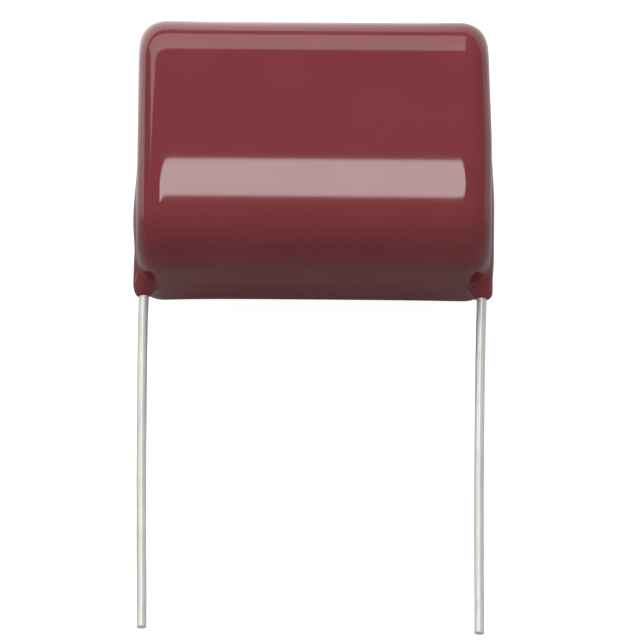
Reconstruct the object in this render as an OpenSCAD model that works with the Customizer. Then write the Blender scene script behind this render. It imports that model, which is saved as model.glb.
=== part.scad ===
// Dipped film capacitor with two radial wire leads, lying on its back face.
// X runs along the lead pitch, +Y away from the leads, +Z out of the front face.
// The origin is the middle of the flat spot that the part rests on. Millimetres.

/* [Film winding] */
// Height of the pressed film roll, across the leads' side and the far side
winding_height = 20; // [16:0.5:28]
// Thickness of the pressed film roll
winding_thick = 12.9; // [9:0.1:16]
// Radius of the roll's turned edges
winding_edge_r = 5; // [2.5:0.1:5.5]

/* [Sprayed ends] */
// Thickness of the sprayed metal on each end of the roll
spray_thick = 0.5; // [0.3:0.05:0.8]
// How far the spray stays inside the roll's outline
spray_margin = 0.3; // [0.1:0.05:0.8]

/* [Leads] */
// Distance between the centres of the two wires
lead_pitch = 27.5; // [22.5:0.5:37.5]
// Wire diameter
lead_diameter = 0.8; // [0.6:0.05:1]
// Free length of the left wire, from the coat's foot to its tip
lead_free_left = 28.5; // [5:0.1:40]
// Free length of the right wire, from the coat's foot to its tip
lead_free_right = 28.8; // [5:0.1:40]
// Radius on the edge of each cut tip
tip_edge_r = 0.16; // [0.05:0.01:0.25]
// Thickness of the wire where it is pressed flat for the weld
weld_thick = 0.6; // [0.4:0.05:0.7]
// Width of the wire where it is pressed flat for the weld
weld_width = 0.85; // [0.8:0.05:1.2]
// How deep the weld sinks into the sprayed metal
weld_sink = 0.15; // [0.05:0.01:0.25]
// Length of the left weld, up from the roll's lower edge
weld_left = 10; // [4:0.5:15]
// Length of the right weld, up from the roll's lower edge
weld_right = 15; // [4:0.5:15.5]

/* [Coating] */
// Coat over the front face, and over the back before it settled flat
coat_face = 1; // [0.7:0.05:2]
// Coat over the far edge and over the leads' edge
coat_edge = 0.9; // [0.7:0.05:2]
// Coat over the left sprayed end
coat_left = 0.9; // [0.7:0.05:2]
// Coat over the right sprayed end
coat_right = 1; // [0.7:0.05:2]
// How much the coat over the right end thins towards the far edge
right_thinning = 0.35; // [0:0.05:0.4]
// Coat round each wire, on the ridge down the end and at the foot
coat_lead = 0.5; // [0.35:0.01:0.9]
// Radius of the coat's long edges
long_edge_r = 4.5; // [3:0.1:5.5]
// Radius of the coat's edges round each end
end_edge_r = 2.3; // [1:0.1:2.8]
// Lean of the front and back faces where they meet the long edges, in degrees
face_lean = 4; // [1:0.5:6]
// Lean of the two narrow faces where they meet the long edges, in degrees
side_lean = 4; // [1:0.5:8]
// Lean of the ends where they meet their edges, in degrees
end_lean = 3; // [1:0.5:8]
// How far the foot round each wire reaches below the coat's underside
foot_reach = 1; // [0.4:0.05:2]
// How far the coat sags towards each foot
foot_sag = 0.45; // [0:0.05:0.8]
// Spread of that sag along the underside
sag_spread = 1.6; // [0.8:0.1:4]
// Width of the web where the coat bridges wire and body
web_width = 0.6; // [0.3:0.05:1.5]
// Length over which the ridge rises along each wire
ridge_run = 5; // [2:0.5:8]
// How far the back face is settled flat
rest_flat = 0.12; // [0.05:0.01:0.2]

/* [Hidden] */
$fn = 48;

// Leads, and the metal that they are welded to.
lead_r = lead_diameter / 2;
lead_x = lead_pitch / 2;
spray_face = lead_x - lead_r + weld_sink;
winding_end = spray_face - spray_thick;
winding_foot = -winding_height / 2;

// Coat, as half sizes about the middle of the winding.
half_high = winding_height / 2 + coat_edge;
half_thick = winding_thick / 2 + coat_face;
end_left = spray_face + coat_left;
end_right = spray_face + coat_right;
mid_z = half_thick - rest_flat;
sleeve_r = lead_r + coat_lead;
foot_y = -half_high - foot_reach;

// Section of the coat across X: four long edges of one radius, joined by large
// arcs that lean by face_lean and side_lean where they meet them.
face_tan = tan(face_lean / 2);
side_tan = tan(side_lean / 2);
edge_z = (half_thick - long_edge_r - (half_high - long_edge_r) * face_tan)
    / (1 - face_tan * side_tan);
edge_y = half_high - long_edge_r - edge_z * side_tan;
face_r = long_edge_r + edge_y / sin(face_lean);
side_r = long_edge_r + edge_z / sin(side_lean);

// Point of the section's first quarter where the normal leans by t from +Z
// towards +Y.
function quarter_point(t) =
    t <= face_lean ? [face_r * sin(t), half_thick - face_r + face_r * cos(t)]
    : t >= 90 - side_lean ? [half_high - side_r + side_r * sin(t), side_r * cos(t)]
    : [edge_y + long_edge_r * sin(t), edge_z + long_edge_r * cos(t)];

// The whole ring, as [y, z, and the normal's y and z], from the middle of the
// front face round by +Y, the back and -Y.
face_steps = 5;
edge_steps = 8;
side_steps = 9;
quarter = concat(
    [for (i = [0:face_steps - 1]) face_lean * i / face_steps],
    [
        for (i = [0:edge_steps - 1])
            face_lean + (90 - face_lean - side_lean) * i / edge_steps
    ],
    [for (i = [0:side_steps - 1]) 90 - side_lean * (1 - i / side_steps)]
);
quarter_count = len(quarter);
ring_count = 4 * quarter_count;
up = concat(quarter, [90]);
down = [for (i = [quarter_count - 1:-1:1]) 180 - quarter[i]];
half_ring = concat(up, down);
ring_angles = concat(half_ring, [for (t = half_ring) t + 180]);

function acute(t) = t <= 90 ? t : t <= 180 ? 180 - t : t <= 270 ? t - 180 : 360 - t;
function ring_point(t) =
    let (p = quarter_point(acute(t)))
    [
        t <= 180 ? p[0] : -p[0],
        t <= 90 || t >= 270 ? p[1] : -p[1],
        sin(t),
        cos(t)
    ];
ring = [for (t = ring_angles) ring_point(t)];

// Stations along X, as [x, inset from the section, share of the cap, turn of
// the normal]. Each end has a round edge and a domed cap that shrinks on to the
// section's middle line.
edge_turn = 90 - end_lean;
cap_line = half_high - half_thick;
cap_rise = (half_thick - end_edge_r) * tan(end_lean) / 2;
edge_rise = end_edge_r * sin(edge_turn);
edge_inset = end_edge_r * (1 - cos(edge_turn));
edge_run = cap_rise + edge_rise;
turn_steps = 10;
cap_steps = 6;
cap_core = 0.05;
span_steps = 28;

function edge_station(from, turn) =
    [from + end_edge_r * sin(turn), end_edge_r * (1 - cos(turn)), 1, turn];
function cap_station(from, share) =
    [
        from + edge_rise + cap_rise * (1 - share * share),
        edge_inset, share, 90 - end_lean * share
    ];
function end_stations(from) = concat(
    [for (i = [1:turn_steps]) edge_station(from, edge_turn * i / turn_steps)],
    [for (i = [1:cap_steps]) cap_station(from, 1 - (1 - cap_core) * i / cap_steps)]
);
function mirrored(list) = [
    for (i = [len(list) - 1:-1:0]) [-list[i][0], list[i][1], list[i][2], -list[i][3]]
];
function closer_at_ends(u) = 0.4 * u + 0.6 * sin(90 * u);

span_left = -(end_left - edge_run);
span_right = end_right - edge_run;
span_middle = (span_left + span_right) / 2;
span_half = (span_right - span_left) / 2;
stations = concat(
    mirrored(end_stations(-span_left)),
    [
        for (i = [0:span_steps])
            [span_middle + span_half * closer_at_ends(2 * i / span_steps - 1), 0, 1, 0]
    ],
    end_stations(span_right)
);
station_count = len(stations);

// Plain coat at station s and ring point r, and the direction it faces.
function plain_point(s, r) =
    let (
        y = r[0] - s[1] * r[2],
        z = r[1] - s[1] * r[3],
        line_y = max(-cap_line, min(cap_line, y)),
        on_y = line_y + (y - line_y) * s[2],
        thinned = right_thinning * max(0, s[0] / end_right) * max(0, on_y / half_high)
    )
    [s[0] - thinned, on_y, z * s[2]];
function plain_normal(s, r) = [sin(s[3]), cos(s[3]) * r[2], cos(s[3]) * r[3]];

// Distance from the sleeve of coat round a wire. The sleeve sinks away over
// ridge_run at the top of the weld, and ends below in a round foot.
function ease(u) = let (c = max(0, min(1, u))) c * c * (3 - 2 * c);
function sleeve_distance(p, wire_x, weld_top) =
    let (
        away = norm([p[0] - wire_x, p[2]]),
        past_foot = foot_y + coat_lead - p[1],
        sink = (web_width + sleeve_r) * ease((p[1] - weld_top) / ridge_run + 0.8)
    )
    past_foot < 0
        ? away - sleeve_r + sink
        : norm([max(away - lead_r, 0), past_foot]) - coat_lead;

// Smooth union of two distances over the width of the web.
function bridged(a, b) =
    let (h = max(web_width - abs(a - b), 0) / web_width)
    min(a, b) - h * h * web_width / 4;

// Height of the real coat over the plain one, found by closing in from outside.
first_rise = 3;
rise_passes = 20;
weld_top_left = winding_foot + weld_left;
weld_top_right = winding_foot + weld_right;
function coat_gap(p, rise) =
    bridged(
        bridged(rise, sleeve_distance(p, -lead_x, weld_top_left)),
        sleeve_distance(p, lead_x, weld_top_right)
    );
function coat_rise(p, n, rise = first_rise, pass = rise_passes) =
    pass == 0 ? max(rise, 0)
    : coat_rise(p, n, rise - coat_gap(p + rise * n, rise), pass - 1);

// The underside sags towards each foot.
function sag_at(p, n) =
    foot_sag * max(0, -n[1])
        * exp(-norm([abs(p[0]) - lead_x, p[2] / 2]) / sag_spread);
function coat_point(s, r) =
    let (
        n = plain_normal(s, r),
        p = plain_point(s, r),
        low = p + [0, -sag_at(p, n), 0]
    )
    low + coat_rise(low, n) * n;

// Skin of triangles: a band between neighbouring rings, and at each end a strip
// across the middle line, between ring points that face each other.
function at(k, i) = k * ring_count + (i + ring_count) % ring_count;
function bands() = [
    for (k = [0:station_count - 2], i = [0:ring_count - 1])
        each [
            [at(k, i), at(k + 1, i + 1), at(k + 1, i)],
            [at(k, i), at(k, i + 1), at(k + 1, i + 1)]
        ]
];
function opposite(i) = 2 * quarter_count - i;
function end_strip(k) = concat(
    [
        for (i = [1 - quarter_count:quarter_count - 1])
            [at(k, i), at(k, opposite(i)), at(k, i + 1)]
    ],
    [
        for (i = [-quarter_count:quarter_count - 2])
            [at(k, i + 1), at(k, opposite(i)), at(k, opposite(i + 1))]
    ]
);
function turned(faces) = [for (f = faces) [f[2], f[1], f[0]]];

module coat_skin() {
    polyhedron(
        points = [for (s = stations, r = ring) coat_point(s, r)],
        faces = concat(bands(), end_strip(0), turned(end_strip(station_count - 1)))
    );
}

// Space below the plane that the part rests on.
module rest_cut() {
    translate([-lead_pitch, -winding_height, -half_thick])
        cube([2 * lead_pitch, 2 * winding_height, half_thick]);
}

// Flat-sided section with round corners, across X.
module roll_section(height, thick, corner_r) {
    r = min(corner_r, thick / 2 - 0.01);
    square([height - 2 * r, thick], center = true);
    square([height, thick - 2 * r], center = true);
    for (y = [-1, 1], z = [-1, 1])
        translate([y * (height / 2 - r), z * (thick / 2 - r)])
            circle(r);
}

module along_x(from, length) {
    translate([from, 0, mid_z])
        rotate([90, 0, 90])
            linear_extrude(length)
                children();
}

module film_winding() {
    color("lightgoldenrodyellow")
        along_x(-winding_end, 2 * winding_end)
            roll_section(winding_height, winding_thick, winding_edge_r);
}

module spray_block(from) {
    along_x(from, spray_thick)
        roll_section(
            winding_height - 2 * spray_margin,
            winding_thick - 2 * spray_margin,
            winding_edge_r - spray_margin
        );
}

module end_spray_left() {
    color("darkgray")
        difference() {
            spray_block(-spray_face);
            lead_left();
        }
}

module end_spray_right() {
    color("darkgray")
        difference() {
            spray_block(winding_end);
            lead_right();
        }
}

// Wire from its cut tip up to the foot, along -Y from the origin.
module free_wire(length) {
    rotate([90, 0, 0])
        rotate_extrude()
            union() {
                square([lead_r, length - tip_edge_r]);
                square([lead_r - tip_edge_r, length]);
                translate([lead_r - tip_edge_r, length - tip_edge_r])
                    intersection() {
                        circle(tip_edge_r);
                        square(tip_edge_r);
                    }
            }
}

// Pressed end of the wire: its inner side is flush with the round wire's.
module weld_pad(length) {
    translate([-weld_thick / 2, 0, -weld_width / 2])
        cube([weld_thick, length, weld_width]);
}

module lead(side, free, weld) {
    pad_x = side * (spray_face - weld_sink + weld_thick / 2);
    color("gainsboro") {
        translate([side * lead_x, foot_y, mid_z])
            free_wire(free);
        hull() {
            translate([side * lead_x, foot_y + 0.1, mid_z])
                rotate([90, 0, 0])
                    cylinder(r = lead_r, h = 0.1, $fn = 32);
            translate([pad_x, winding_foot, mid_z])
                weld_pad(0.01);
        }
        translate([pad_x, winding_foot, mid_z])
            weld_pad(weld);
    }
}

module lead_left() {
    lead(-1, lead_free_left, weld_left);
}

module lead_right() {
    lead(1, lead_free_right, weld_right);
}

module epoxy_coating() {
    color("brown")
        difference() {
            translate([0, 0, mid_z])
                coat_skin();
            rest_cut();
            film_winding();
            spray_block(-spray_face);
            spray_block(winding_end);
            lead_left();
            lead_right();
        }
}

epoxy_coating();
film_winding();
end_spray_left();
end_spray_right();
lead_left();
lead_right();
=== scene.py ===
import math

import bmesh
import bpy
import numpy as np
from mathutils import Matrix, Vector


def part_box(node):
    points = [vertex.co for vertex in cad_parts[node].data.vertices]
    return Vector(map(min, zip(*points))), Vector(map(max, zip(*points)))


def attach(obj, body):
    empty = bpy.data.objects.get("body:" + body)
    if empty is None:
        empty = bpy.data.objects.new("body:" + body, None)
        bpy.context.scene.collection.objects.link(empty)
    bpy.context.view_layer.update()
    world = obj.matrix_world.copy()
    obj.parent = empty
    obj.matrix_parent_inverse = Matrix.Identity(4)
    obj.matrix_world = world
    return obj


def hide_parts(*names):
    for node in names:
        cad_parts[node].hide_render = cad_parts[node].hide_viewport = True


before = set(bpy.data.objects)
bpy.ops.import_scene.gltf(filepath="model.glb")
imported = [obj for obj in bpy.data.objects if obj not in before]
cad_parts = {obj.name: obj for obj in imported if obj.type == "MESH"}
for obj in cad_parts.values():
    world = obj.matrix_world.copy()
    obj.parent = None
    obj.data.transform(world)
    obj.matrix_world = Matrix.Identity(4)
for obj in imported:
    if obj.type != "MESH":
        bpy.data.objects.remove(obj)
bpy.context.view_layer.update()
scene = bpy.context.scene
mm = 0.001


def newObject(name, mesh):
    obj = bpy.data.objects.new(name, mesh)
    scene.collection.objects.link(obj)
    return obj


def ease(u):
    c = np.clip(u, 0, 1)
    return c * c * (3 - 2 * c)


def bell(distance, width):
    return np.exp(-(distance / width) ** 2)


# The part lies on its back. Its body runs between these places of the frame.
coatLow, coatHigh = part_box("epoxy_coating")
rollLow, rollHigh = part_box("film_winding")
leftLow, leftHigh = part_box("lead_left")
rightLow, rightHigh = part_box("lead_right")
leadR = (rightHigh.x - rightLow.x) / 2
leadX = (rightHigh.x + rightLow.x) / 2
midZ = (rollLow.z + rollHigh.z) / 2
wallEdge, wallFace = 0.85 * mm, 1.0 * mm   # coat over the roll's edges and faces
halfHigh = rollHigh.y + wallEdge
halfThick = rollHigh.z - midZ + wallFace
footY = coatLow.y

camera = {
    "tilt": 20.0,                # degrees off the front face, towards the leads
    "roll": 0.46,                # degrees that the part leans in the view
    "distance": 2.2,
    "width": 52.07 * mm,         # what the frame takes in, at the part
    "aim": (0.6 * mm, -13.80 * mm, midZ),
}


def makeCamera(c):
    tilt = math.radians(c["tilt"])
    back = Vector((0, -math.sin(tilt), math.cos(tilt)))
    up = Vector((0, math.cos(tilt), math.sin(tilt)))
    turn = Matrix.Rotation(math.radians(c["roll"]), 3, back)
    axes = Matrix((turn @ up.cross(back), turn @ up, back)).transposed()
    data = bpy.data.cameras.new("camera")
    data.sensor_width = 36
    data.lens = data.sensor_width * c["distance"] / c["width"]
    data.clip_start = 0.05
    data.clip_end = 20
    obj = newObject("camera", data)
    place = Vector(c["aim"]) + back * c["distance"]
    obj.matrix_world = Matrix.Translation(place) @ axes.to_4x4()
    scene.camera = obj
    print("camera set")


makeCamera(camera)

# Coat: a loft across X with long edges of one radius and slightly domed faces,
# bridged to a sleeve round each wire.
coat = {
    "longEdge": 4.5 * mm,
    "endEdges": (2.5 * mm, 2.45 * mm),        # left, right
    "endPower": 2.4,                         # 2 is a plain arc, more is fuller
    "faceLean": 4.0,                         # degrees
    "sideLean": 4.0,
    "endDome": 0.03 * mm,
    "ends": (14.4 * mm, 14.5 * mm),
    "thinning": 0.4 * mm,                    # of the right end, towards the far edge
    "sleeves": (0.49 * mm, 0.49 * mm),       # coat round the wires
    "web": 0.6 * mm,
    "ridgeRun": 11.0 * mm,
    "weldTops": (3.5 * mm, 5.0 * mm),
    "footRounds": (1.2 * mm, 0.6 * mm),
    "necks": (0.2 * mm, 0.0),                # how far the ridge narrows over the foot
    "neckUp": 4.0 * mm,
    "neckRun": 1.4 * mm,
    "sags": (0.45 * mm, 0.2 * mm),
    "sagSpread": 2.2 * mm,
    "cornerSwell": 0.05 * mm,
    "swellInset": 2.6 * mm,
    "swellSpread": 2.0 * mm,
    "faceSteps": 22, "edgeSteps": 22, "sideSteps": 22,
    "spanSteps": 130, "turnSteps": 26, "capSteps": 16,
}


def coatSection(c):
    faceTan = math.tan(math.radians(c["faceLean"] / 2))
    sideTan = math.tan(math.radians(c["sideLean"] / 2))
    r = c["longEdge"]
    edgeZ = (halfThick - r - (halfHigh - r) * faceTan) / (1 - faceTan * sideTan)
    edgeY = halfHigh - r - edgeZ * sideTan
    faceR = r + edgeY / math.sin(math.radians(c["faceLean"]))
    sideR = r + edgeZ / math.sin(math.radians(c["sideLean"]))
    low, high = c["faceLean"], 90 - c["sideLean"]
    quarter = np.concatenate([
        np.linspace(0, low, c["faceSteps"], endpoint=False),
        np.linspace(low, high, c["edgeSteps"], endpoint=False),
        np.linspace(high, 90, c["sideSteps"], endpoint=False),
    ])
    half = np.concatenate([quarter, [90], 180 - quarter[:0:-1]])
    turn = np.radians(np.concatenate([half, half + 180]))
    s, k = np.abs(np.sin(turn)), np.abs(np.cos(turn))
    lean = np.degrees(np.arctan2(s, k))
    y = np.where(lean <= low, faceR * s, np.where(
        lean >= high, halfHigh - sideR + sideR * s, edgeY + r * s))
    z = np.where(lean <= low, halfThick - faceR + faceR * k, np.where(
        lean >= high, sideR * k, edgeZ + r * k))
    return y * np.sign(np.sin(turn) + 1e-12), z * np.sign(np.cos(turn) + 1e-12), turn


def coatStations(c):
    angle = np.linspace(0, math.pi / 2, c["turnSteps"] + 1)[1:]
    share = np.linspace(1, 0.03, c["capSteps"] + 1)[1:]
    p = 2 / c["endPower"]
    along, across = np.sin(angle) ** p, np.cos(angle).clip(0) ** p
    turn = np.arctan2(np.sin(angle) ** (2 - p), np.cos(angle).clip(0) ** (2 - p))
    shares = np.concatenate([np.ones(len(angle)), share])
    turns = np.concatenate([turn, np.full(len(share), math.pi / 2)])
    sides = []
    for r in c["endEdges"]:
        x = np.concatenate([r * along, r + c["endDome"] * (1 - share ** 2)])
        inset = np.concatenate([r * (1 - across), np.full(len(share), r)])
        sides.append((x, inset))
    left = -(c["ends"][0] - c["endDome"] - c["endEdges"][0])
    right = c["ends"][1] - c["endDome"] - c["endEdges"][1]
    u = np.linspace(-1, 1, c["spanSteps"] + 1)
    span = (left + right) / 2 + (right - left) / 2 * (0.55 * u + 0.45 * np.sin(u * math.pi / 2))
    plain = np.zeros(len(span))
    return (
        np.concatenate([left - sides[0][0][::-1], span, right + sides[1][0]]),
        np.concatenate([sides[0][1][::-1], plain, sides[1][1]]),
        np.concatenate([shares[::-1], plain + 1, shares]),
        np.concatenate([-turns[::-1], plain, turns]),
    )


def sleeveGap(c, p, n):
    sleeve, footRound = c["sleeves"][n], c["footRounds"][n]
    away = np.hypot(p[..., 0] - (2 * n - 1) * leadX, p[..., 2])
    past = (footY + footRound - p[..., 1]) * sleeve / footRound
    sleeveR = leadR + sleeve
    sink = (c["web"] + sleeveR) * ease((p[..., 1] - c["weldTops"][n]) / c["ridgeRun"] + 0.8)
    sink = sink + c["necks"][n] * bell(p[..., 1] - footY - c["neckUp"], c["neckRun"])
    foot = np.hypot(np.maximum(away - leadR, 0), past) - sleeve
    return np.where(past < 0, away - sleeveR + sink, foot)


def bridge(a, b, width):
    h = np.maximum(width - np.abs(a - b), 0) / width
    return np.minimum(a, b) - h * h * width / 4


def coatPoints(c):
    ringY, ringZ, ringTurn = coatSection(c)
    x, inset, share, turn = (v[:, None] for v in coatStations(c))
    ny, nz = np.sin(ringTurn), np.cos(ringTurn)
    y, z = ringY - inset * ny, ringZ - inset * nz
    line = np.clip(y, -(halfHigh - halfThick), halfHigh - halfThick)
    y = line + (y - line) * share
    z = z * share
    normal = np.stack([
        np.sin(turn) + 0 * y, np.cos(turn) * ny, np.cos(turn) * nz], axis=-1)
    x = x - c["thinning"] * np.clip(x / c["ends"][1], 0, 1) * np.clip(y / halfHigh, 0, 1)
    swell = c["cornerSwell"] * np.clip(normal[..., 1], 0, 1) ** 2 * bell(
        np.abs(x) - c["ends"][0] + c["swellInset"], c["swellSpread"])
    sag = c["sags"][0] + (c["sags"][1] - c["sags"][0]) * ease((x / leadX + 1) / 2)
    sag = sag * np.clip(-normal[..., 1], 0, 1) * np.exp(
        -np.hypot(np.abs(x) - leadX, z / 2) / c["sagSpread"])
    p = np.stack([x, y - sag + swell, z + 0 * x], axis=-1)
    rise = np.full(y.shape, 3 * mm)
    for _ in range(40):
        q = p + rise[..., None] * normal
        gap = bridge(rise, sleeveGap(c, q, 0), c["web"])
        rise = rise - bridge(gap, sleeveGap(c, q, 1), c["web"])
    p = p + np.maximum(rise, 0)[..., None] * normal
    p[..., 2] += midZ
    return p


def coatMesh(c):
    p = coatPoints(c)
    count, ring = p.shape[:2]
    k, i = np.meshgrid(np.arange(count - 1), np.arange(ring), indexing="ij")
    j = (i + 1) % ring
    quads = np.stack([k * ring + i, k * ring + j, (k + 1) * ring + j, (k + 1) * ring + i], -1)
    faces = quads.reshape(-1, 4).tolist()
    quarter = ring // 4
    for station in (0, count - 1):
        base = station * ring
        for n in range(-quarter, quarter):
            loop = [n, 2 * quarter - n, 2 * quarter - n - 1, n + 1]
            loop = [base + v % ring for v in loop]
            loop = list(dict.fromkeys(loop))
            faces.append(loop if station == 0 else loop[::-1])
    mesh = bpy.data.meshes.new("resin_coat")
    mesh.from_pydata(p.reshape(-1, 3).tolist(), [], faces)
    bm = bmesh.new()
    bm.from_mesh(mesh)
    bmesh.ops.remove_doubles(bm, verts=bm.verts, dist=1e-7)
    bmesh.ops.recalc_face_normals(bm, faces=bm.faces)
    for v in bm.verts:
        v.co.z = max(v.co.z, 0)
    bm.to_mesh(mesh)
    bm.free()
    mesh.shade_smooth()
    return mesh


coatPiece = newObject("resin_coat", coatMesh(coat))
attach(coatPiece, "root")
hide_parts("epoxy_coating")
print("coat made:", len(coatPiece.data.polygons), "faces")


def newMaterial(name):
    material = bpy.data.materials.new(name)
    material.use_nodes = True
    nodes = material.node_tree.nodes
    return material, nodes, material.node_tree.links, nodes["Principled BSDF"]


def srgb(r, g, b):
    def lin(v):
        v /= 255
        return v / 12.92 if v <= 0.04045 else ((v + 0.055) / 1.055) ** 2.4
    return lin(r), lin(g), lin(b), 1


resin = {
    "colour": srgb(130, 51, 58),
    "deep": srgb(125, 48, 54),
    "roughness": 0.04,
}


def resinMaterial(s):
    material, nodes, links, shader = newMaterial("red_resin")
    coord = nodes.new("ShaderNodeTexCoord")
    noise = nodes.new("ShaderNodeTexNoise")
    noise.inputs["Scale"].default_value = 180
    noise.inputs["Detail"].default_value = 3
    links.new(coord.outputs["Object"], noise.inputs["Vector"])
    ramp = nodes.new("ShaderNodeValToRGB")
    ramp.color_ramp.elements[0].color = s["deep"]
    ramp.color_ramp.elements[1].color = s["colour"]
    ramp.color_ramp.elements[0].position = 0.2
    ramp.color_ramp.elements[1].position = 0.6
    links.new(noise.outputs["Fac"], ramp.inputs["Fac"])
    links.new(ramp.outputs["Color"], shader.inputs["Base Color"])
    shader.inputs["Roughness"].default_value = s["roughness"]
    return material


coatPiece.data.materials.append(resinMaterial(resin))

wires = {
    "radius": leadR,
    "tipRadius": 0.16 * mm,
    "around": 40,
    "pressed": (0.74, 1.06),     # of the round, across X and Z, where it is welded
    "pressedFrom": (0.4 * mm, 1.4 * mm),     # above the foot's end
    "pressedShift": 0.02 * mm,
    "thicker": 0.03 * mm,        # the tin runs a little thicker towards the tip
    # bow of each wire across X, at steps from its foot to its tip
    "bows": {
        "lead_left": (0, -0.06, -0.073, -0.074, -0.07, -0.068, -0.05, -0.02, 0.0, 0.04, 0.075, 0.09),
        "lead_right": (0, -0.06, -0.09, -0.115, -0.125, -0.13, -0.133, -0.118, -0.105, -0.085, -0.055, -0.04),
    },
}


def smoothThrough(values, t):
    at = np.linspace(0, 1, len(values))
    fine = np.interp(t, at, values)
    kernel = np.hanning(9)
    padded = np.pad(fine, 4, mode="edge")
    return np.convolve(padded, kernel / kernel.sum(), mode="valid")


def wireTree(s, finish):
    tree = bpy.data.node_groups.new("round_wire", "GeometryNodeTree")
    face = tree.interface
    face.new_socket("Geometry", in_out="INPUT", socket_type="NodeSocketGeometry")
    face.new_socket("Wire radius", in_out="INPUT", socket_type="NodeSocketFloat")
    face.new_socket("Facets around", in_out="INPUT", socket_type="NodeSocketInt")
    face.new_socket("Geometry", in_out="OUTPUT", socket_type="NodeSocketGeometry")
    n, links = tree.nodes, tree.links
    given, out = n.new("NodeGroupInput"), n.new("NodeGroupOutput")
    circle = n.new("GeometryNodeCurvePrimitiveCircle")
    sweep = n.new("GeometryNodeCurveToMesh")
    sweep.inputs["Fill Caps"].default_value = True
    smooth = n.new("GeometryNodeSetShadeSmooth")
    real = n.new("GeometryNodeRealizeInstances")
    paint = n.new("GeometryNodeSetMaterial")
    paint.inputs["Material"].default_value = finish
    links.new(given.outputs["Geometry"], sweep.inputs["Curve"])
    links.new(given.outputs["Wire radius"], circle.inputs["Radius"])
    links.new(given.outputs["Facets around"], circle.inputs["Resolution"])
    links.new(circle.outputs["Curve"], sweep.inputs["Profile Curve"])
    links.new(sweep.outputs["Mesh"], smooth.inputs["Geometry"])
    links.new(smooth.outputs["Geometry"], real.inputs["Geometry"])
    links.new(real.outputs["Geometry"], paint.inputs["Geometry"])
    links.new(paint.outputs["Geometry"], out.inputs["Geometry"])
    return tree


def wirePiece(name, node, s, tree):
    low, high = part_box(node)
    x = math.copysign(leadX, low.x)
    top, tip = high.y, low.y
    round_ = s["tipRadius"]
    t = np.linspace(0, 1, 200)
    y = top + (tip + round_ - top) * t
    along = np.clip((footY - y) / (footY - tip), 0, 1)
    dx = smoothThrough(s["bows"][node], along) * mm
    scale = 1 + s["thicker"] / s["radius"] * ease((along - 0.45) / 0.4)
    turn = np.linspace(0, math.pi / 2, 9)[1:]
    y = np.append(y, tip + round_ - round_ * np.sin(turn))
    dx = np.append(dx, np.full(8, dx[-1]))
    scale = np.append(scale, scale[-1] - round_ / s["radius"] * (1 - np.cos(turn)))
    data = bpy.data.curves.new(name, "CURVE")
    data.dimensions = "3D"
    spline = data.splines.new("POLY")
    spline.points.add(len(y) - 1)
    for point, px, py, k in zip(spline.points, x + dx, y, scale):
        point.co = (px, py, midZ, 1)
        point.radius = k
    path = newObject(name + "_path", data)
    mod = path.modifiers.new("round_wire", "NODES")
    mod.node_group = tree
    for item in tree.interface.items_tree:
        if item.in_out == "INPUT" and item.name == "Wire radius":
            mod[item.identifier] = s["radius"]
        if item.in_out == "INPUT" and item.name == "Facets around":
            mod[item.identifier] = s["around"]
    bpy.context.view_layer.update()
    deps = bpy.context.evaluated_depsgraph_get()
    mesh = bpy.data.meshes.new_from_object(path.evaluated_get(deps))
    bpy.data.objects.remove(path)
    bm = bmesh.new()
    bm.from_mesh(mesh)
    bmesh.ops.remove_doubles(bm, verts=bm.verts, dist=1e-7)
    bmesh.ops.recalc_face_normals(bm, faces=bm.faces)
    start, end = s["pressedFrom"]
    for v in bm.verts:
        flat = float(ease((v.co.y - footY - start) / (end - start)))
        v.co.x = x + (v.co.x - x) * (1 + (s["pressed"][0] - 1) * flat)
        v.co.x += math.copysign(s["pressedShift"], x) * flat
        v.co.z = midZ + (v.co.z - midZ) * (1 + (s["pressed"][1] - 1) * flat)
    bm.to_mesh(mesh)
    bm.free()
    piece = newObject(name, mesh)
    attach(piece, "root")
    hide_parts(node)
    print(name, "made:", len(mesh.polygons), "faces")


tin = {"colour": srgb(252, 249, 242), "roughness": 0.3, "metallic": 0.55}


def tinMaterial(s):
    material, nodes, links, shader = newMaterial("tinned_wire")
    shader.inputs["Metallic"].default_value = s["metallic"]
    coord = nodes.new("ShaderNodeTexCoord")
    stretch = nodes.new("ShaderNodeMapping")
    stretch.inputs["Scale"].default_value = (1, 0.25, 1)
    noise = nodes.new("ShaderNodeTexNoise")
    noise.inputs["Scale"].default_value = 1500
    noise.inputs["Detail"].default_value = 4
    ramp = nodes.new("ShaderNodeValToRGB")
    ramp.color_ramp.elements[0].position = 0.3
    ramp.color_ramp.elements[0].color = tuple(0.86 * v for v in s["colour"][:3]) + (1,)
    ramp.color_ramp.elements[1].position = 0.6
    ramp.color_ramp.elements[1].color = s["colour"]
    rough = nodes.new("ShaderNodeMapRange")
    rough.inputs["To Min"].default_value = s["roughness"] - 0.06
    rough.inputs["To Max"].default_value = s["roughness"] + 0.08
    bump = nodes.new("ShaderNodeBump")
    bump.inputs["Strength"].default_value = 0.25
    bump.inputs["Distance"].default_value = 0.01 * mm
    links.new(coord.outputs["Object"], stretch.inputs["Vector"])
    links.new(stretch.outputs["Vector"], noise.inputs["Vector"])
    links.new(noise.outputs["Fac"], ramp.inputs["Fac"])
    links.new(noise.outputs["Fac"], rough.inputs["Value"])
    links.new(noise.outputs["Fac"], bump.inputs["Height"])
    links.new(ramp.outputs["Color"], shader.inputs["Base Color"])
    links.new(rough.outputs["Result"], shader.inputs["Roughness"])
    links.new(bump.outputs["Normal"], shader.inputs["Normal"])
    return material


tinFinish = tinMaterial(tin)
wireNodes = wireTree(wires, tinFinish)
wirePiece("left_wire", "lead_left", wires, wireNodes)
wirePiece("right_wire", "lead_right", wires, wireNodes)

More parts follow.
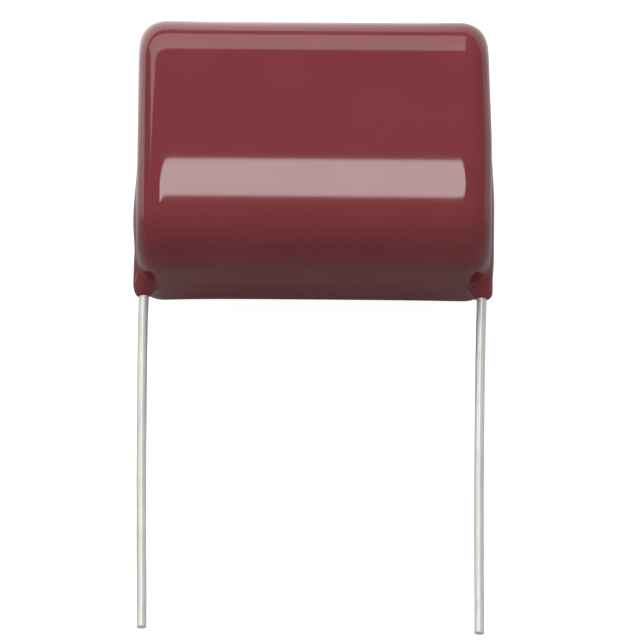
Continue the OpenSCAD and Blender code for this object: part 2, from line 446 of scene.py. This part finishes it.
# Finishes of the pieces held inside the coat, set on their own nodes.
inner = {
    "plastic_film": {
        "nodes": ("film_winding",), "light": srgb(196, 198, 196), "dark": srgb(150, 153, 152),
        "scale": (12, 900, 1400), "roughness": 0.25, "metallic": 0.6, "bump": 0.15,
    },
    "sprayed_zinc": {
        "nodes": ("end_spray_left", "end_spray_right"), "light": srgb(168, 168, 163),
        "dark": srgb(112, 112, 108), "scale": (1600, 1600, 1600), "roughness": 0.62,
        "metallic": 0.85, "bump": 0.6,
    },
}


def innerMaterial(name, s):
    material, nodes, links, shader = newMaterial(name)
    shader.inputs["Metallic"].default_value = s["metallic"]
    shader.inputs["Roughness"].default_value = s["roughness"]
    coord = nodes.new("ShaderNodeTexCoord")
    stretch = nodes.new("ShaderNodeMapping")
    stretch.inputs["Scale"].default_value = s["scale"]
    noise = nodes.new("ShaderNodeTexNoise")
    noise.inputs["Scale"].default_value = 1
    noise.inputs["Detail"].default_value = 4
    ramp = nodes.new("ShaderNodeValToRGB")
    ramp.color_ramp.elements[0].position = 0.35
    ramp.color_ramp.elements[0].color = s["dark"]
    ramp.color_ramp.elements[1].position = 0.65
    ramp.color_ramp.elements[1].color = s["light"]
    bump = nodes.new("ShaderNodeBump")
    bump.inputs["Strength"].default_value = s["bump"]
    bump.inputs["Distance"].default_value = 0.02 * mm
    links.new(coord.outputs["Object"], stretch.inputs["Vector"])
    links.new(stretch.outputs["Vector"], noise.inputs["Vector"])
    links.new(noise.outputs["Fac"], ramp.inputs["Fac"])
    links.new(ramp.outputs["Color"], shader.inputs["Base Color"])
    links.new(noise.outputs["Fac"], bump.inputs["Height"])
    links.new(bump.outputs["Normal"], shader.inputs["Normal"])
    return material


for finish, settings in inner.items():
    made = innerMaterial(finish, settings)
    for node in settings["nodes"]:
        bpy.data.objects[node].data.materials.clear()
        bpy.data.objects[node].data.materials.append(made)
print("inner pieces finished")

floor = {
    "size": 0.5,
    "under": 0.02 * mm,          # clear of the coat's flat spot, which lies at zero
    "colour": 0.45,
    "white": 0.93,               # what the view sees besides the lit colour
    "glow": 1.1,                 # painted glow that only gloss sees, brighter on the side beyond the part: a painted lit table for the reflections
    "paintedGlowFrom": (-5 * mm, 15 * mm),
    "paintedGlowDimRight": (-5 * mm, 18 * mm, 0.35),
}


def makeFloor(s):
    mesh = bpy.data.meshes.new("floor")
    h, z = s["size"] / 2, -s["under"]
    mesh.from_pydata([(-h, -h, z), (h, -h, z), (h, h, z), (-h, h, z)], [], [(0, 1, 2, 3)])
    obj = newObject("floor", mesh)
    material, nodes, links, shader = newMaterial("white_table")
    shader.inputs["Base Color"].default_value = (s["colour"],) * 3 + (1,)
    shader.inputs["Roughness"].default_value = 1
    shader.inputs["Specular IOR Level"].default_value = 0
    coord = nodes.new("ShaderNodeTexCoord")
    split = nodes.new("ShaderNodeSeparateXYZ")
    # Painted light: gloss and transmission rays see the floor glow, rising towards +Y beyond the part and
    # dimmer towards +X.
    ramp = nodes.new("ShaderNodeMapRange")
    ramp.inputs["From Min"].default_value, ramp.inputs["From Max"].default_value = s["paintedGlowFrom"]
    ramp.inputs["To Max"].default_value = s["glow"]
    paintedGlowDimmer = nodes.new("ShaderNodeMapRange")
    paintedGlowDimmer.inputs["From Min"].default_value = s["paintedGlowDimRight"][0]
    paintedGlowDimmer.inputs["From Max"].default_value = s["paintedGlowDimRight"][1]
    paintedGlowDimmer.inputs["To Min"].default_value = 1
    paintedGlowDimmer.inputs["To Max"].default_value = s["paintedGlowDimRight"][2]
    glow = nodes.new("ShaderNodeMath")
    glow.operation = "MULTIPLY"
    path = nodes.new("ShaderNodeLightPath")
    gloss = nodes.new("ShaderNodeMath")
    gloss.operation = "MAXIMUM"
    times = nodes.new("ShaderNodeMath")
    times.operation = "MULTIPLY"
    seen = nodes.new("ShaderNodeMath")
    seen.operation = "MULTIPLY_ADD"
    seen.inputs[1].default_value = s["white"]
    links.new(coord.outputs["Object"], split.inputs["Vector"])
    links.new(split.outputs["Y"], ramp.inputs["Value"])
    links.new(split.outputs["X"], paintedGlowDimmer.inputs["Value"])
    links.new(ramp.outputs["Result"], glow.inputs[0])
    links.new(paintedGlowDimmer.outputs["Result"], glow.inputs[1])
    links.new(path.outputs["Is Glossy Ray"], gloss.inputs[0])
    links.new(path.outputs["Is Transmission Ray"], gloss.inputs[1])
    links.new(gloss.outputs["Value"], times.inputs[0])
    links.new(glow.outputs["Value"], times.inputs[1])
    links.new(path.outputs["Is Camera Ray"], seen.inputs[0])
    links.new(times.outputs["Value"], seen.inputs[2])
    links.new(seen.outputs["Value"], shader.inputs["Emission Strength"])
    shader.inputs["Emission Color"].default_value = (1, 1, 1, 1)
    obj.data.materials.append(material)


makeFloor(floor)

# Softboxes stand by where they are in the sky over the part: "around" is the turn
# towards +X and "zenith" the lean from overhead towards +Y, in degrees.
def skyPoint(around, zenith, distance):
    a, z = np.radians(around), np.radians(zenith)
    p = np.stack([np.sin(a), np.cos(a) * np.sin(z), np.cos(a) * np.cos(z)], axis=-1)
    return p * distance + np.array([0, 0, midZ])


def glowMaterial(name, radiance):
    material, nodes, links, shader = newMaterial(name)
    nodes.remove(shader)
    level = nodes.new("ShaderNodeAttribute")
    level.attribute_name = "level"
    glow = nodes.new("ShaderNodeEmission")
    glow.inputs["Strength"].default_value = radiance
    clear = nodes.new("ShaderNodeBsdfTransparent")
    fade = nodes.new("ShaderNodeMixShader")
    links.new(level.outputs["Fac"], fade.inputs["Fac"])
    links.new(clear.outputs["BSDF"], fade.inputs[1])
    links.new(glow.outputs["Emission"], fade.inputs[2])
    links.new(fade.outputs["Shader"], nodes["Material Output"].inputs["Surface"])
    return material


def softbox(name, points, faces, level, radiance):
    mesh = bpy.data.meshes.new(name)
    mesh.from_pydata(points.tolist(), [], faces)
    mesh.attributes.new("level", "FLOAT", "POINT").data.foreach_set("value", level)
    mesh.materials.append(glowMaterial(name, radiance))
    obj = newObject(name, mesh)
    obj.visible_camera = False


strip = {
    "radiance": 7.2,
    "distance": 3.0,
    # outline, as turn and lean in degrees
    "outline": (
        (-17, 12.8), (-14, 13.0), (-8, 13.1), (2, 13.1), (5, 13.5), (6.6, 14.2), (7, 14.95),
        (5.2, 15.9), (3.2, 16.6), (1.8, 17.0), (0.6, 17.1), (-0.6, 17.08), (-3, 16.95),
        (-7, 16.7), (-11, 16.35), (-14, 15.95), (-16, 15.5), (-17, 15.0),
    ),
}
outline = np.array(strip["outline"])
softbox(
    "strip_softbox", skyPoint(outline[:, 0], outline[:, 1], strip["distance"]),
    [tuple(range(len(outline)))], np.ones(len(outline)), strip["radiance"])

card = {
    "radiance": 2.6,
    "distance": 1.2,
    "around": (-54, 12),
    "zenith": (26, 81),
    "lowEdge": (40, 31),         # lean of its near edge, straight ahead and at 45 degrees
    "soft": (6, 3),              # fade of the near edge and of the others
    "farLevel": 0.65,
}


def cardSoftbox(s):
    around = np.linspace(*s["around"], 45)
    zenith = np.linspace(*s["zenith"], 60)
    a, z = np.meshgrid(around, zenith, indexing="ij")
    low = s["lowEdge"][0] + (s["lowEdge"][1] - s["lowEdge"][0]) * np.clip(-a / 45, 0, 1.2)
    level = ease((z - low) / s["soft"][0] + 0.5) * ease((s["zenith"][1] - z) / s["soft"][1])
    level *= ease((a - s["around"][0]) / s["soft"][1]) * ease((s["around"][1] - a) / s["soft"][1])
    level *= 1 + (s["farLevel"] - 1) * ease((z - low) / (s["zenith"][1] - low))
    points = skyPoint(a, z, s["distance"]).reshape(-1, 3)
    rows, cols = a.shape
    i, j = np.meshgrid(np.arange(rows - 1), np.arange(cols - 1), indexing="ij")
    k = (i * cols + j).reshape(-1)
    faces = np.stack([k, k + 1, k + cols + 1, k + cols], -1).tolist()
    softbox("card_softbox", points, faces, level.reshape(-1), s["radiance"])


cardSoftbox(card)

fill = {"zenith": 22, "around": 0, "high": 50, "wide": 110, "radiance": 1.08}


def fillLight(s, distance=1.0):
    out = Vector(skyPoint(s["around"], s["zenith"], 1.0) - np.array([0, 0, midZ]))
    data = bpy.data.lights.new("soft_fill", "AREA")
    data.shape = "RECTANGLE"
    data.size = 2 * distance * math.tan(math.radians(s["wide"] / 2))
    data.size_y = 2 * distance * math.tan(math.radians(s["high"] / 2))
    data.energy = s["radiance"] * math.pi * data.size * data.size_y
    obj = newObject("soft_fill", data)
    obj.location = out * distance + Vector((0, 0, midZ))
    obj.rotation_mode = "QUATERNION"
    obj.rotation_quaternion = out.to_track_quat("Z", "Y")
    obj.visible_camera = False
    obj.visible_glossy = False    # lifts the colours and leaves no reflection


fillLight(fill)


def makeWorld(ambient, cameraWhite):
    world = bpy.data.worlds.new("studio")
    scene.world = world
    world.use_nodes = True
    nodes, links = world.node_tree.nodes, world.node_tree.links
    dim = nodes["Background"]
    dim.inputs["Color"].default_value = (1, 1, 1, 1)
    dim.inputs["Strength"].default_value = ambient
    white = nodes.new("ShaderNodeBackground")
    white.inputs["Strength"].default_value = cameraWhite
    path = nodes.new("ShaderNodeLightPath")
    mix = nodes.new("ShaderNodeMixShader")
    links.new(path.outputs["Is Camera Ray"], mix.inputs["Fac"])
    links.new(dim.outputs["Background"], mix.inputs[1])
    links.new(white.outputs["Background"], mix.inputs[2])
    links.new(mix.outputs["Shader"], nodes["World Output"].inputs["Surface"])


makeWorld(0.3, 1.0)
scene.view_settings.view_transform = "Standard"
print("stage and lights set")
